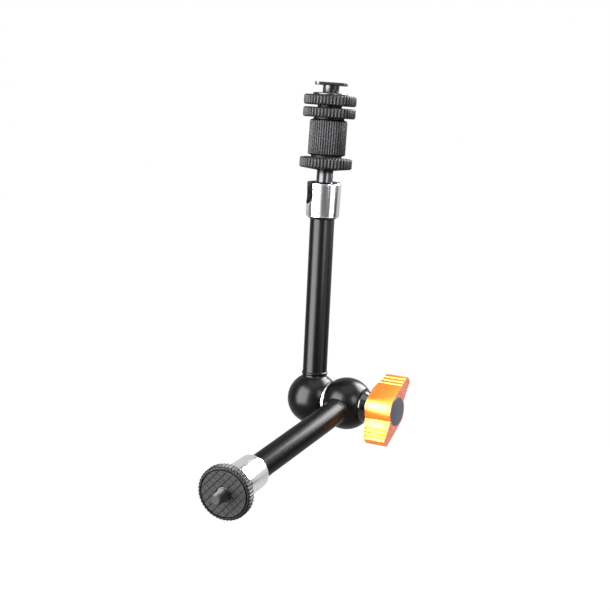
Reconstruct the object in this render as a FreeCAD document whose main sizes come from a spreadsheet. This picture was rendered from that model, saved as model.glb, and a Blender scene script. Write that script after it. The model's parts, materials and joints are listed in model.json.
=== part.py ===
import FreeCAD, Part
import math
import os
import re

import Sketcher

# An articulating friction arm: two tubes with ball housings pivot on a cross bolt, and a ball stud
# sits in a slotted socket at each far end. Turning the wing knob draws the bolt's cone one way and
# the cone bush the other, so both push rods press their seats on the end balls and the elbow locks.
# Lengths are millimetres and angles are degrees.

SIZES = {
    # Elbow: the ball housings, the washer between them and the bores that cross them
    "housing_r": 15.0,
    "washer_thick": 1.5,
    "washer_r": 10.7,
    "inner_cut": 4.8,
    "outer_cut": 3.6,
    "flat_bevel": 0.4,
    "cavity_r": 6.3,
    "cavity_depth": 7.6,
    "washer_bore_r": 5.2,
    # Tubes
    "tube_r": 7.0,
    "tube_bore_r": 3.3,
    "tube_end": 111.2,
    "root_blend": 1.6,
    "root_ring": 0.45,
    "root_ring_long": 1.4,
    # Sockets
    "socket_foot": 105.2,
    "socket_rim": 126.0,
    "rim_rise": 5.0,
    "socket_r": 10.0,
    "socket_foot_r": 9.5,
    "foot_bevel_r": 2.2,
    "foot_bevel_rise": 1.7,
    "rim_bevel": 0.4,
    "mouth_r": 5.7,
    "mouth_flare": 1.15,
    "slot_width": 10.5,
    "slot_depth": 12.4,
    "upper_slot_heading": 225.0,
    "lower_slot_heading": 270.0,
    # Ball studs, measured from the ball's centre
    "ball_r": 6.9,
    "ball_gap": 0.1,
    "neck_r": 4.7,
    "neck_long": 11.7,
    "wheel_under": 13.0,
    "shank_r": 3.9,
    "stud_r": 3.15,
    "stud_reach": 9.3,
    "stud_bevel": 0.6,
    # Ball seats and push rods
    "seat_clear": 0.12,
    "seat_drop": 5.5,
    "seat_thick": 4.0,
    "seat_bevel": 0.5,
    "rod_r": 3.0,
    "cone_gap": 0.15,
    # Cross bolt, cone bush and spring
    "cone_angle": 30.0,
    "cone_r": 4.8,
    "cone_half": 2.1,
    "bush_front": 1.5,
    "head_land": 2.5,
    "bolt_r": 3.0,
    "bolt_short": 3.7,
    "bolt_bevel": 0.5,
    "fit_gap": 0.05,
    "spring_wire_r": 0.45,
    "spring_coil_r": 4.1,
    "spring_turns": 5.0,
    "spring_gap": 0.3,
    # Collar and wing knob, measured along the cross bolt
    "collar_r": 9.3,
    "collar_waist_r": 7.7,
    "collar_edge": 0.9,
    "collar_gap": 0.1,
    "collar_long": 4.75,
    "knob_deep": 16.0,
    "hub_r": 9.3,
    "wing_reach": 21.6,
    "wing_tip_half": 2.8,
    "wing_root_half": 3.4,
    "wing_tip_round": 1.8,
    "wing_blend": 0.6,
    "wing_setback": 3.7,
    "wing_heading": 38.0,
    "grip_r": 0.65,
    "grip_pitch": 2.3,
    "grip_inset": 2.9,
    "grip_rise": 0.26,
    "grip_count": 3.0,
    "cap_r": 8.2,
    "cap_thick": 1.2,
    "cap_recess": 1.0,
    "cap_gap": 0.1,
    # Thumb wheels and their pads
    "wheel_r": 15.0,
    "wheel_thick": 6.0,
    "wheel_bevel": 0.8,
    "boss_r": 4.5,
    "pad_lip": 2.0,
    "pad_gap": 0.3,
    "pad_thick": 1.7,
    "pad_proud": 0.2,
    "pad_groove": 0.35,
    "pad_groove_wide": 0.5,
    "pad_groove_pitch": 3.2,
    "pad_groove_shift": 0.6,
    "pad_hole_gap": 0.3,
    "pad_heading": 45.5,
    "knurl_count": 46,
    "knurl_depth": 0.75,
    "knurl_half": 0.62,
    # Adapter: knurled barrel with its ring, lock ring, washer and shoe foot
    "barrel_r": 10.75,
    "barrel_long": 19.7,
    "groove_r": 8.8,
    "groove_long": 1.4,
    "ring_thick": 5.7,
    "adapter_boss_r": 7.0,
    "adapter_boss_long": 1.3,
    "socket_extra": 1.2,
    "barrel_knurl_count": 46,
    "barrel_knurl_depth": 0.5,
    "barrel_knurl_half": 0.5,
    "lock_ring_thick": 5.8,
    "clamp_washer_r": 10.0,
    "clamp_washer_thick": 1.3,
    "post_r": 4.7,
    "post_gap": 4.3,
    "spigot_r": 3.1,
    "spigot_long": 8.0,
    "shoe_side": 18.6,
    "shoe_thick": 1.6,
    "shoe_corner": 2.8,
    "foot_heading": 28.0,
    # How far a cutting shape reaches past the piece it cuts
    "cut_over": 1.0,
    # How the arm stands: the lower tube's fall below level, and each stud's lean from its tube
    "lower_fall": 9.95,
    "upper_lean": 3.9,
    "upper_lean_heading": 98.1,
    "lower_lean": 5.95,
    "lower_lean_heading": 24.2,
}

doc = FreeCAD.newDocument("friction_arm")
sheet = doc.addObject("Spreadsheet::Sheet", "Sizes")
for row, (alias, size) in enumerate(SIZES.items(), 1):
    sheet.set("A%d" % row, alias)
    sheet.set("B%d" % row, str(size))
    sheet.setAlias("B%d" % row, alias)
doc.recompute()

# An edge counts as running along a direction above this cosine, and as lying at a radius within this
ALONG = 0.99
NEAR = 0.1
UP = FreeCAD.Vector(0, 0, 1)
ACROSS = FreeCAD.Vector(1, 0, 0)
ORIGIN = FreeCAD.Vector(0, 0, 0)
parts = []


def ref(text):
    """The expression with each size read from the sheet."""
    return re.sub(r"[a-z_]+", lambda m: "Sizes." + m.group(0) if m.group(0) in SIZES else m.group(0), text)


def value(text):
    """The number that an expression of the sizes gives now."""
    found = sheet.evalExpression(ref(text))
    return float(getattr(found, "Value", found))


def new_body(label):
    body = doc.addObject("PartDesign::Body", label)
    body.Label = label
    parts.append(body)
    return body


def origin_feature(body, role):
    return next(item for item in body.Origin.OriginFeatures if item.Role == role)


def new_sketch(body, name, role, rise="0"):
    """A sketch on one of the body's own planes, raised along the plane's normal."""
    sketch = body.newObject("Sketcher::SketchObject", name)
    sketch.AttachmentSupport = [(origin_feature(body, role), "")]
    sketch.MapMode = "FlatFace"
    if rise != "0":
        sketch.setExpression("AttachmentOffset.Base.z", ref(rise))
    return sketch


def bind(sketch, kind, places, text):
    index = sketch.addConstraint(Sketcher.Constraint(kind, *places, value(text)))
    sketch.setExpression("Constraints[%d]" % index, ref(text))


def fix_point(sketch, edge, end, u, v):
    """Holds a point at (u, v); a nought puts it on the sketch's axis, and None leaves it free."""
    for text, kind, axis in ((u, "DistanceX", -2), (v, "DistanceY", -1)):
        if text is None:
            continue
        if text == "0":
            sketch.addConstraint(Sketcher.Constraint("PointOnObject", edge, end, axis))
        else:
            bind(sketch, kind, (-1, 1, edge, end), text)


def outline(sketch, points, arcs=None):
    """A closed outline: arcs gives, for an edge's number, the arc's centre and if it turns left."""
    arcs = arcs or {}
    spots = [FreeCAD.Vector(value(u), value(v), 0) for u, v in points]
    base = sketch.GeometryCount
    ends = []
    for i, spot in enumerate(spots):
        after = spots[(i + 1) % len(spots)]
        if i in arcs:
            centre_u, centre_v, left = arcs[i]
            centre = FreeCAD.Vector(value(centre_u), value(centre_v), 0)
            first, last = (spot, after) if left else (after, spot)
            a = math.atan2(first.y - centre.y, first.x - centre.x)
            b = math.atan2(last.y - centre.y, last.x - centre.x)
            circle = Part.Circle(centre, UP, spot.distanceToPoint(centre))
            sketch.addGeometry(Part.ArcOfCircle(circle, a, b if b > a else b + 2 * math.pi))
            ends.append((1, 2) if left else (2, 1))
        else:
            sketch.addGeometry(Part.LineSegment(spot, after))
            ends.append((1, 2))
    for i, (u, v) in enumerate(points):
        after = (i + 1) % len(points)
        fix_point(sketch, base + i, ends[i][0], u, v)
        joint = (base + i, ends[i][1], base + after, ends[after][0])
        sketch.addConstraint(Sketcher.Constraint("Coincident", *joint))
        if i in arcs:
            chord = spots[after] - spots[i]
            across = abs(chord.x) > abs(chord.y)
            fix_point(sketch, base + i, 3, None if across else arcs[i][0], arcs[i][1] if across else None)


def ring(sketch, u, v, radius):
    """A full circle about (u, v)."""
    edge = sketch.GeometryCount
    sketch.addGeometry(Part.Circle(FreeCAD.Vector(value(u), value(v), 0), UP, value(radius)))
    fix_point(sketch, edge, 3, u, v)
    bind(sketch, "Radius", (edge,), radius)


def turned(body, points, arcs=None, name="Turned"):
    """A turned piece: the outline gives radius and height, and it goes round the body's Z axis."""
    sketch = new_sketch(body, name + "Profile", "XZ_Plane")
    outline(sketch, points, arcs)
    feature = body.newObject("PartDesign::Revolution", name)
    feature.Profile = sketch
    feature.ReferenceAxis = (sketch, ["V_Axis"])
    feature.Angle = 360
    doc.recompute()
    return feature


def padded(body, sketch, length, name):
    feature = body.newObject("PartDesign::Pad", name)
    feature.Profile = sketch
    feature.setExpression("Length", ref(length))
    doc.recompute()
    return feature


def pocket(body, sketch, name, length=None, along_normal=True, both_ways=False):
    """Cuts the sketch's shape out of the body and makes sure that something was cut."""
    before = body.Shape.Volume
    feature = body.newObject("PartDesign::Pocket", name)
    feature.Profile = sketch
    if both_ways:
        feature.SideType = "Symmetric"
    if length is None:
        feature.Type = "ThroughAll"
    else:
        feature.setExpression("Length", ref(length))
    feature.Reversed = along_normal
    doc.recompute()
    if not body.Shape.Volume < before:
        raise RuntimeError(body.Label + ": " + name + " cuts nothing")
    return feature


def polar(body, cut, count, name):
    """Repeats a cut all the way round the body's Z axis."""
    feature = body.newObject("PartDesign::PolarPattern", name)
    feature.Originals = [cut]
    feature.Axis = (origin_feature(body, "Z_Axis"), [""])
    feature.Angle = 360
    feature.setExpression("Occurrences", ref(count))
    body.Tip = feature
    doc.recompute()
    return feature


def edges_where(shape, test):
    return ["Edge%d" % (i + 1) for i, edge in enumerate(shape.Edges) if test(edge)]


def dressed(body, kind, base, names, size_name, size):
    """A chamfer or fillet on the named edges."""
    feature = body.newObject("PartDesign::" + kind, kind)
    feature.Base = (base, names)
    feature.setExpression(size_name, ref(size))
    doc.recompute()
    return feature


def is_circle(edge):
    return not edge.Degenerated and isinstance(edge.Curve, Part.Circle)


def knurl(body, radius, low, long, count, depth, half, name="Knurl"):
    """Straight knurling: one V groove down the rim, repeated all round."""
    sketch = new_sketch(body, name + "Tooth", "XY_Plane", low)
    outer = "%s + %s" % (radius, depth)
    flare = "2 * (%s)" % half
    corners = [("%s - %s" % (radius, depth), "0"), (outer, flare), (outer, "-" + flare)]
    outline(sketch, corners)
    cut = pocket(body, sketch, name + "Groove", long)
    return polar(body, cut, count, name)


# Lengths that follow from the sizes. The housings' flats go with the ball they cut, and along the
# cross bolt each piece starts where the one before it ends
INNER_FLAT = "(housing_r - inner_cut)"
OUTER_FLAT = "(housing_r - outer_cut)"
COLLAR_START = "(%s + washer_thick / 2 + %s + collar_gap)" % (INNER_FLAT, OUTER_FLAT)
KNOB_BACK = "(%s + collar_long)" % COLLAR_START
KNOB_FACE = "(%s + knob_deep)" % KNOB_BACK
PAD_R = "(wheel_r - pad_lip)"

# Where the arm's joints are, with the elbow's middle at the origin
elbow_half = value(INNER_FLAT + " + washer_thick / 2")
ball_height = value("socket_rim - rim_rise")
upper_arm = FreeCAD.Placement(FreeCAD.Vector(-elbow_half, 0, 0), FreeCAD.Rotation())
lower_turn = FreeCAD.Rotation(ACROSS, 90 + value("lower_fall"))
lower_arm = FreeCAD.Placement(FreeCAD.Vector(elbow_half, 0, 0), lower_turn)
arms = {"upper": upper_arm, "lower": lower_arm}


def stud_placement(side):
    """The stud's own frame: its origin at the ball's centre, and Z leaning from the tube's line."""
    heading = FreeCAD.Rotation(UP, value(side + "_lean_heading"))
    lean = FreeCAD.Rotation(FreeCAD.Vector(0, 1, 0), value(side + "_lean"))
    turn = heading.multiply(lean).multiply(heading.inverted())
    socket = FreeCAD.Placement(FreeCAD.Vector(0, 0, ball_height), turn)
    return arms[side].multiply(socket)


studs = {side: stud_placement(side) for side in arms}
# The arm is held by the lower stud, so the model's origin is where that stud leaves the lower pad
WHEEL_TOP = "(wheel_under + wheel_thick + pad_proud)"
held_point = studs["lower"].multVec(UP * value(WHEEL_TOP))
to_base = FreeCAD.Placement(-held_point, FreeCAD.Rotation())
cross_turn = FreeCAD.Rotation(UP, ACROSS)


def put(body, placement):
    body.Placement = to_base.multiply(placement)


def on_cross(along):
    """A place on the cross bolt's line, with the piece's Z axis along it."""
    return FreeCAD.Placement(FreeCAD.Vector(along, 0, 0), cross_turn)


def arm_body(side):
    """One tube with its ball housing: flats at the elbow, the cone's cavity and the rod's bore."""
    body = new_body(side + "_arm_body")
    blend_u = "(tube_r + root_blend)"
    blend_v = "sqrt((housing_r + root_blend)^2 - (tube_r + root_blend)^2)"
    share = "housing_r / (housing_r + root_blend)"
    ring_u = "tube_r + root_ring"
    ring_top = blend_v + " + root_ring_long"
    points = [
        ("0", "-housing_r"),
        ("%s * %s" % (blend_u, share), "%s * %s" % (blend_v, share)),
        ("tube_r", blend_v),
        (ring_u, blend_v + " + root_ring"),
        (ring_u, ring_top),
        ("tube_r", ring_top + " + root_ring"),
        ("tube_r", "tube_end"),
        ("tube_bore_r", "tube_end"),
        ("tube_bore_r", "0"),
        ("0", "0"),
    ]
    arcs = {0: ("0", "0", True), 1: (blend_u, blend_v, False)}
    turned(body, points, arcs)

    # The upper housing faces the elbow with its +X side, the lower one with its -X side
    upper = side == "upper"
    sign = "" if upper else "-"
    plane = new_sketch(body, "InnerFlatEdge", "YZ_Plane", sign + INNER_FLAT)
    ring(plane, "0", "0", "housing_r")
    pocket(body, plane, "InnerFlat", along_normal=upper)
    if not upper:
        plane = new_sketch(body, "OuterFlatEdge", "YZ_Plane", OUTER_FLAT)
        ring(plane, "0", "0", "housing_r")
        pocket(body, plane, "OuterFlat")
    mouth = new_sketch(body, "CavityEdge", "YZ_Plane", sign + INNER_FLAT)
    ring(mouth, "0", "0", "cavity_r")
    if upper:
        cut = pocket(body, mouth, "Cavity", INNER_FLAT + " + cavity_depth", along_normal=False)
    else:
        cut = pocket(body, mouth, "Cavity")

    def on_flat(edge):
        if not is_circle(edge) or abs(edge.Curve.Axis.x) < ALONG:
            return False
        return edge.Curve.Radius > value("cavity_r") + NEAR

    dressed(body, "Chamfer", cut, edges_where(cut.Shape, on_flat), "Size", "flat_bevel")
    put(body, arms[side])


def socket(side):
    """The chromed sleeve that holds the ball: a lip over the ball, a flared mouth and one open slot."""
    body = new_body(side + "_socket")
    centre = "(socket_rim - rim_rise)"
    bore = "(ball_r + ball_gap)"
    lip = "%s + sqrt(%s^2 - mouth_r^2)" % (centre, bore)
    points = [
        (bore, "socket_foot"),
        ("socket_foot_r - foot_bevel_r", "socket_foot"),
        ("socket_foot_r", "socket_foot + foot_bevel_rise"),
        ("socket_r", "socket_rim - rim_bevel"),
        ("socket_r - rim_bevel", "socket_rim"),
        ("mouth_r + mouth_flare", "socket_rim"),
        ("mouth_r", lip),
        (bore, centre),
    ]
    turned(body, points, {6: ("0", centre, False)})

    # The slot's frame is turned so that its opening points along the sketch's normal
    slot = new_sketch(body, "SlotEdge", "YZ_Plane")
    half = "slot_width / 2"
    low = "socket_rim - slot_depth + slot_width / 2"
    over = "socket_rim + cut_over"
    corners = [("-" + half, over), ("-" + half, low), (half, low), (half, over)]
    outline(slot, corners, {1: ("0", low, True)})
    pocket(body, slot, "Slot", "socket_r + cut_over")
    heading = FreeCAD.Rotation(UP, value(side + "_slot_heading"))
    put(body, arms[side].multiply(FreeCAD.Placement(ORIGIN, heading)))


def ball_stud(side):
    """Ball, neck and threaded stud, turned in one piece."""
    body = new_body(side + "_ball_stud")
    meet = "sqrt(ball_r^2 - neck_r^2)"
    tip = WHEEL_TOP + " + stud_reach"
    points = [
        ("0", "-ball_r"),
        ("neck_r", meet),
        ("neck_r", "neck_long"),
        ("shank_r", "neck_long"),
        ("shank_r", WHEEL_TOP),
        ("stud_r", WHEEL_TOP),
        ("stud_r", tip + " - stud_bevel"),
        ("stud_r - stud_bevel", tip),
        ("0", tip),
    ]
    turned(body, points, {0: ("0", "0", True)})
    put(body, studs[side])


def ball_seat(side):
    """The cup under the ball, low enough to clear the neck when the stud folds into the slot."""
    body = new_body(side + "_ball_seat")
    cup = "(ball_r + seat_clear)"
    rise = "(seat_drop + seat_thick)"
    cup_mouth = "sqrt(%s^2 - seat_drop^2)" % cup
    points = [
        ("0", "0"),
        ("tube_r - seat_bevel", "0"),
        ("tube_r - seat_bevel", "seat_thick - seat_bevel"),
        ("tube_r - 2 * seat_bevel", "seat_thick"),
        (cup_mouth, "seat_thick"),
        ("0", rise + " - " + cup),
    ]
    turned(body, points, {4: ("0", rise, False)})
    foot = ball_height - value(rise)
    put(body, arms[side].multiply(FreeCAD.Placement(UP * foot, FreeCAD.Rotation())))


def push_rod(side):
    """The rod in the tube: a round nose on the cone, and a flat end under the seat."""
    body = new_body(side + "_push_rod")
    nose = "(cone_r + (rod_r + cone_gap) / cos(cone_angle * 1deg))"
    top = "socket_rim - rim_rise - seat_drop - seat_thick"
    points = [("0", nose + " - rod_r"), ("rod_r", nose), ("rod_r", top), ("0", top)]
    turned(body, points, {0: ("0", nose, True)})
    put(body, arms[side])


def draw_bolt():
    """The bolt across the elbow, with its cone in the upper housing."""
    body = new_body("draw_bolt")
    slope = "cone_half * tan(cone_angle * 1deg)"
    cone_end = "head_land + 2 * cone_half"
    reach = KNOB_FACE + " - bolt_short"
    tip = "head_land + cone_half + %s + washer_thick / 2 + %s" % (INNER_FLAT, reach)
    points = [
        ("0", "0"),
        ("cone_r + " + slope, "0"),
        ("cone_r + " + slope, "head_land"),
        ("cone_r - " + slope, cone_end),
        ("bolt_r", cone_end),
        ("bolt_r", tip + " - bolt_bevel"),
        ("bolt_r - bolt_bevel", tip),
        ("0", tip),
    ]
    turned(body, points)
    put(body, on_cross(-elbow_half - value("head_land + cone_half")))


def cone_bush():
    """The second cone, pushed by the collar and free to slide on the bolt."""
    body = new_body("cone_bush")
    wide = "cone_r + cone_half * tan(cone_angle * 1deg)"
    narrow = "cone_r - bush_front * tan(cone_angle * 1deg)"
    end = "bush_front + %s + collar_gap" % OUTER_FLAT
    points = [
        ("bolt_r + fit_gap", "0"),
        (narrow, "0"),
        (wide, "bush_front + cone_half"),
        (wide, end),
        ("bolt_r + fit_gap", end),
    ]
    turned(body, points)
    put(body, on_cross(elbow_half - value("bush_front")))


def return_spring():
    """A coil between the two cones, which parts them when the knob is loosened."""
    body = new_body("return_spring")
    sketch = new_sketch(body, "Wire", "XZ_Plane")
    ring(sketch, "spring_coil_r", "spring_wire_r", "spring_wire_r")
    coil = body.newObject("PartDesign::AdditiveHelix", "Coil")
    coil.Profile = sketch
    coil.ReferenceAxis = (sketch, ["V_Axis"])
    coil.Mode = "height-turns-angle"
    room = "2 * %s + washer_thick - cone_half - bush_front" % INNER_FLAT
    coil.setExpression("Height", ref(room + " - 2 * spring_gap - 2 * spring_wire_r"))
    coil.setExpression("Turns", ref("spring_turns"))
    doc.recompute()
    put(body, on_cross(-elbow_half + value("cone_half + spring_gap")))


def friction_washer():
    """The steel washer that the two housings turn against."""
    body = new_body("friction_washer")
    edge = "flat_bevel / 2"
    points = [
        ("washer_bore_r", "0"),
        ("washer_r - " + edge, "0"),
        ("washer_r", edge),
        ("washer_r", "washer_thick - " + edge),
        ("washer_r - " + edge, "washer_thick"),
        ("washer_bore_r", "washer_thick"),
    ]
    turned(body, points)
    put(body, on_cross(-value("washer_thick") / 2))


def thrust_collar():
    """The dished black collar between the lower housing's outer flat and the back of the knob."""
    body = new_body("thrust_collar")
    long = "collar_long"
    points = [
        ("bolt_r + pad_gap", "0"),
        ("collar_r", "0"),
        ("collar_r", "collar_edge"),
        ("collar_waist_r", long + " - collar_edge"),
        ("collar_waist_r + collar_edge / 2", long),
        ("bolt_r + pad_gap", long),
    ]
    turned(body, points)
    put(body, on_cross(value(COLLAR_START)))


def wing_knob():
    """The two-winged knob: on one side each wing runs off the hub as a tangent, on the other it meets it in a crease."""
    body = new_body("wing_knob")
    swing = "(atan(wing_tip_half / wing_reach) + acos(hub_r / sqrt(wing_reach^2 + wing_tip_half^2)))"
    touch_u = "hub_r * cos(%s)" % swing
    touch_v = "hub_r * sin(%s)" % swing
    crease_u = "sqrt(hub_r^2 - wing_root_half^2)"
    plan = new_sketch(body, "PlanEdge", "XY_Plane")
    corners = [
        ("wing_reach", "-wing_tip_half"),
        ("wing_reach", "wing_tip_half"),
        (touch_u, touch_v),
        ("-" + crease_u, "wing_root_half"),
        ("-wing_reach", "wing_tip_half"),
        ("-wing_reach", "-wing_tip_half"),
        ("-" + touch_u, "-" + touch_v),
        (crease_u, "-wing_root_half"),
    ]
    outline(plan, corners, {2: ("0", "0", True), 6: ("0", "0", True)})
    whole = padded(body, plan, "knob_deep", "Plan")

    def upright(edge):
        return abs(edge.tangentAt(edge.FirstParameter).z) > ALONG

    def distance(edge):
        middle = edge.CenterOfMass
        return math.hypot(middle.x, middle.y)

    def at_crease(edge):
        on_hub = abs(distance(edge) - value("hub_r")) < NEAR
        return upright(edge) and on_hub and abs(edge.CenterOfMass.y) < value("wing_root_half") + NEAR

    def at_tip(edge):
        return upright(edge) and distance(edge) > value("wing_reach") - NEAR

    blend = dressed(body, "Fillet", whole, edges_where(whole.Shape, at_crease), "Radius", "wing_blend")
    tips = edges_where(blend.Shape, at_tip)
    dressed(body, "Fillet", blend, tips, "Radius", "wing_tip_round")

    # The wings' backs slope from the hub to the tips
    for sign, name in (("", "Back"), ("-", "OtherBack")):
        slope = new_sketch(body, name + "Slope", "XZ_Plane")
        reach = sign + "(wing_reach + cut_over)"
        start = sign + "hub_r"
        below = "-cut_over"
        outline(slope, [(start, below), (start, "0"), (reach, "wing_setback"), (reach, below)])
        pocket(body, slope, name, "2 * wing_reach", both_ways=True)

    # The grip grooves run across both sides of each wing near its tip
    grips = new_sketch(body, "GripEdge", "XY_Plane")
    flat_slope = "(wing_root_half - wing_tip_half) / (wing_reach - %s)" % crease_u
    full_slope = "(%s - wing_tip_half) / (wing_reach - %s)" % (touch_v, touch_u)
    for k in range(int(value("grip_count"))):
        inset = "(grip_inset + %d * grip_pitch)" % k
        along = "(wing_reach - %s)" % inset
        for slope, sign in ((full_slope, ""), (flat_slope, "-")):
            side = "(wing_tip_half + grip_rise + %s * %s)" % (slope, inset)
            ring(grips, along, sign + side, "grip_r")
            opposite = "-" if sign == "" else ""
            ring(grips, "-" + along, opposite + side, "grip_r")
    pocket(body, grips, "Grips")

    recess = new_sketch(body, "CapEdge", "XY_Plane", "knob_deep")
    ring(recess, "0", "0", "cap_r + cap_gap")
    pocket(body, recess, "CapRecess", "cap_recess", along_normal=False)
    bore = new_sketch(body, "BoreEdge", "XY_Plane")
    ring(bore, "0", "0", "bolt_r + fit_gap")
    pocket(body, bore, "Bore", "knob_deep - bolt_short + cap_recess")
    heading = FreeCAD.Placement(ORIGIN, FreeCAD.Rotation(UP, 180 - value("wing_heading")))
    put(body, on_cross(value(KNOB_BACK)).multiply(heading))


def knob_cap():
    """The plain disc set in the knob's face."""
    body = new_body("knob_cap")
    edge = "cap_gap"
    points = [
        ("0", "0"),
        ("cap_r", "0"),
        ("cap_r", "cap_thick - " + edge),
        ("cap_r - " + edge, "cap_thick"),
        ("0", "cap_thick"),
    ]
    turned(body, points)
    put(body, on_cross(value(KNOB_FACE + " - cap_recess")))


def thumb_wheel(side):
    """The knurled wheel on the stud, coned down to the neck, with a recess for its pad."""
    body = new_body(side + "_wheel")
    top = "wheel_under + wheel_thick"
    floor = top + " + pad_proud - pad_thick"
    bore = "shank_r + fit_gap"
    points = [
        (bore, "neck_long"),
        ("boss_r", "neck_long"),
        ("wheel_r - wheel_bevel", "wheel_under"),
        ("wheel_r", "wheel_under + wheel_bevel"),
        ("wheel_r", top + " - wheel_bevel"),
        ("wheel_r - wheel_bevel", top),
        (PAD_R + " + pad_gap", top),
        (PAD_R + " + pad_gap", floor),
        (bore, floor),
    ]
    turned(body, points)
    knurl(body, "wheel_r", "neck_long", "wheel_thick + wheel_under", "knurl_count", "knurl_depth", "knurl_half")
    put(body, studs[side])


def pad(side):
    """The rubber disc in the wheel's face, with straight grooves."""
    body = new_body(side + "_pad")
    top = WHEEL_TOP
    floor = top + " - pad_thick"
    hole = "shank_r + pad_hole_gap"
    points = [(hole, floor), (PAD_R, floor), (PAD_R, top), (hole, top)]
    turned(body, points)
    grooves = new_sketch(body, "GrooveEdge", "XY_Plane", top)
    reach = "(%s + pad_gap)" % PAD_R
    most = int(value(PAD_R + " / pad_groove_pitch"))
    for k in range(-most, most):
        middle = "%d * pad_groove_pitch + pad_groove_shift" % k
        low = "(%s - pad_groove_wide / 2)" % middle
        high = "(%s + pad_groove_wide / 2)" % middle
        outline(grooves, [("-" + reach, low), (reach, low), (reach, high), ("-" + reach, high)])
    pocket(body, grooves, "Grooves", "pad_groove", along_normal=False)
    heading = FreeCAD.Placement(ORIGIN, FreeCAD.Rotation(UP, value("pad_heading")))
    put(body, studs[side].multiply(heading))


# Heights on the upper stud, each from the ball's centre
BARREL_TOP = "(%s + groove_long + barrel_long)" % WHEEL_TOP
RING_LOW = "(%s + groove_long)" % BARREL_TOP
RING_TOP = "(%s + ring_thick)" % RING_LOW
BOSS_TOP = "(%s + adapter_boss_long)" % RING_TOP
LOCK_TOP = "(%s + lock_ring_thick)" % BOSS_TOP
CLAMP_TOP = "(%s + clamp_washer_thick)" % LOCK_TOP
SHOE_LOW = "(%s + post_gap)" % CLAMP_TOP


def bevelled_rim(low, high):
    """The rim of a knurled ring between two heights."""
    return [
        ("wheel_r - wheel_bevel", low),
        ("wheel_r", low + " + wheel_bevel"),
        ("wheel_r", high + " - wheel_bevel"),
        ("wheel_r - wheel_bevel", high),
    ]


def adapter_barrel():
    """The knurled barrel that screws on the upper stud, with its ring and the boss above it."""
    body = new_body("adapter_barrel")
    bore = "stud_r + fit_gap"
    ceiling = WHEEL_TOP + " + stud_reach + socket_extra"
    spigot_floor = BOSS_TOP + " - spigot_long - socket_extra"
    points = [
        (bore, WHEEL_TOP),
        ("groove_r", WHEEL_TOP),
        ("groove_r", WHEEL_TOP + " + groove_long - barrel_knurl_depth"),
        ("barrel_r - barrel_knurl_depth", WHEEL_TOP + " + groove_long"),
        ("barrel_r", WHEEL_TOP + " + groove_long + barrel_knurl_depth"),
        ("barrel_r", BARREL_TOP + " - barrel_knurl_depth"),
        ("barrel_r - barrel_knurl_depth", BARREL_TOP),
        ("groove_r", BARREL_TOP + " + barrel_knurl_depth"),
        ("groove_r", RING_LOW),
        *bevelled_rim(RING_LOW, RING_TOP),
        ("adapter_boss_r", RING_TOP),
        ("adapter_boss_r", BOSS_TOP),
        ("spigot_r", BOSS_TOP),
        ("spigot_r", spigot_floor),
        ("0", spigot_floor),
        ("0", ceiling),
        (bore, ceiling),
    ]
    turned(body, points)
    knurl(body, "wheel_r", RING_LOW, "ring_thick", "knurl_count", "knurl_depth", "knurl_half", "RingKnurl")
    low = WHEEL_TOP + " + groove_long - barrel_knurl_depth"
    long = "barrel_long + 2 * barrel_knurl_depth"
    count = "barrel_knurl_count"
    knurl(body, "barrel_r", low, long, count, "barrel_knurl_depth", "barrel_knurl_half", "BarrelKnurl")
    put(body, studs["upper"])


def lock_ring():
    """The knurled ring on the shoe foot's post, which screws up towards the shoe."""
    body = new_body("lock_ring")
    bore = "post_r + fit_gap"
    points = [(bore, BOSS_TOP), *bevelled_rim(BOSS_TOP, LOCK_TOP), (bore, LOCK_TOP)]
    turned(body, points)
    knurl(body, "wheel_r", BOSS_TOP, "lock_ring_thick", "knurl_count", "knurl_depth", "knurl_half")
    put(body, studs["upper"])


def clamp_washer():
    """The washer that the lock ring lifts against the shoe."""
    body = new_body("clamp_washer")
    bore = "post_r + fit_gap"
    edge = "clamp_washer_thick / 3"
    points = [
        (bore, LOCK_TOP),
        ("clamp_washer_r", LOCK_TOP),
        ("clamp_washer_r", CLAMP_TOP + " - " + edge),
        ("clamp_washer_r - " + edge, CLAMP_TOP),
        (bore, CLAMP_TOP),
    ]
    turned(body, points)
    put(body, studs["upper"])


def shoe_foot():
    """The square foot that slides in an accessory shoe, with its post and the spigot in the barrel."""
    body = new_body("shoe_foot")
    spigot = [
        ("0", BOSS_TOP + " - spigot_long"),
        ("spigot_r", BOSS_TOP + " - spigot_long"),
        ("spigot_r", BOSS_TOP),
        ("post_r", BOSS_TOP),
        ("post_r", SHOE_LOW),
        ("0", SHOE_LOW),
    ]
    turned(body, spigot)
    plate = new_sketch(body, "PlateEdge", "XY_Plane", SHOE_LOW)
    half = "shoe_side / 2"
    corners = [("-" + half, "-" + half), (half, "-" + half), (half, half), ("-" + half, half)]
    outline(plate, corners)
    square = padded(body, plate, "shoe_thick", "Plate")

    def corner(edge):
        middle = edge.CenterOfMass
        return math.hypot(middle.x, middle.y) > value("shoe_side / sqrt(2) - shoe_corner")

    dressed(body, "Fillet", square, edges_where(square.Shape, corner), "Radius", "shoe_corner")
    heading = FreeCAD.Placement(ORIGIN, FreeCAD.Rotation(UP, value("foot_heading")))
    put(body, studs["upper"].multiply(heading))


for end in ("lower", "upper"):
    arm_body(end)
    socket(end)
    ball_stud(end)
    ball_seat(end)
    push_rod(end)
    thumb_wheel(end)
    pad(end)
draw_bolt()
cone_bush()
return_spring()
friction_washer()
thrust_collar()
wing_knob()
knob_cap()
adapter_barrel()
lock_ring()
clamp_washer()
shoe_foot()

doc.recompute()
for item in doc.Objects:
    if "Invalid" in item.State or "Error" in item.State:
        raise RuntimeError(item.Label + " is " + ", ".join(item.State))
for part in parts:
    if part.Shape.isNull() or not part.Shape.isValid():
        raise RuntimeError(part.Label + " has no valid shape")

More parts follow.
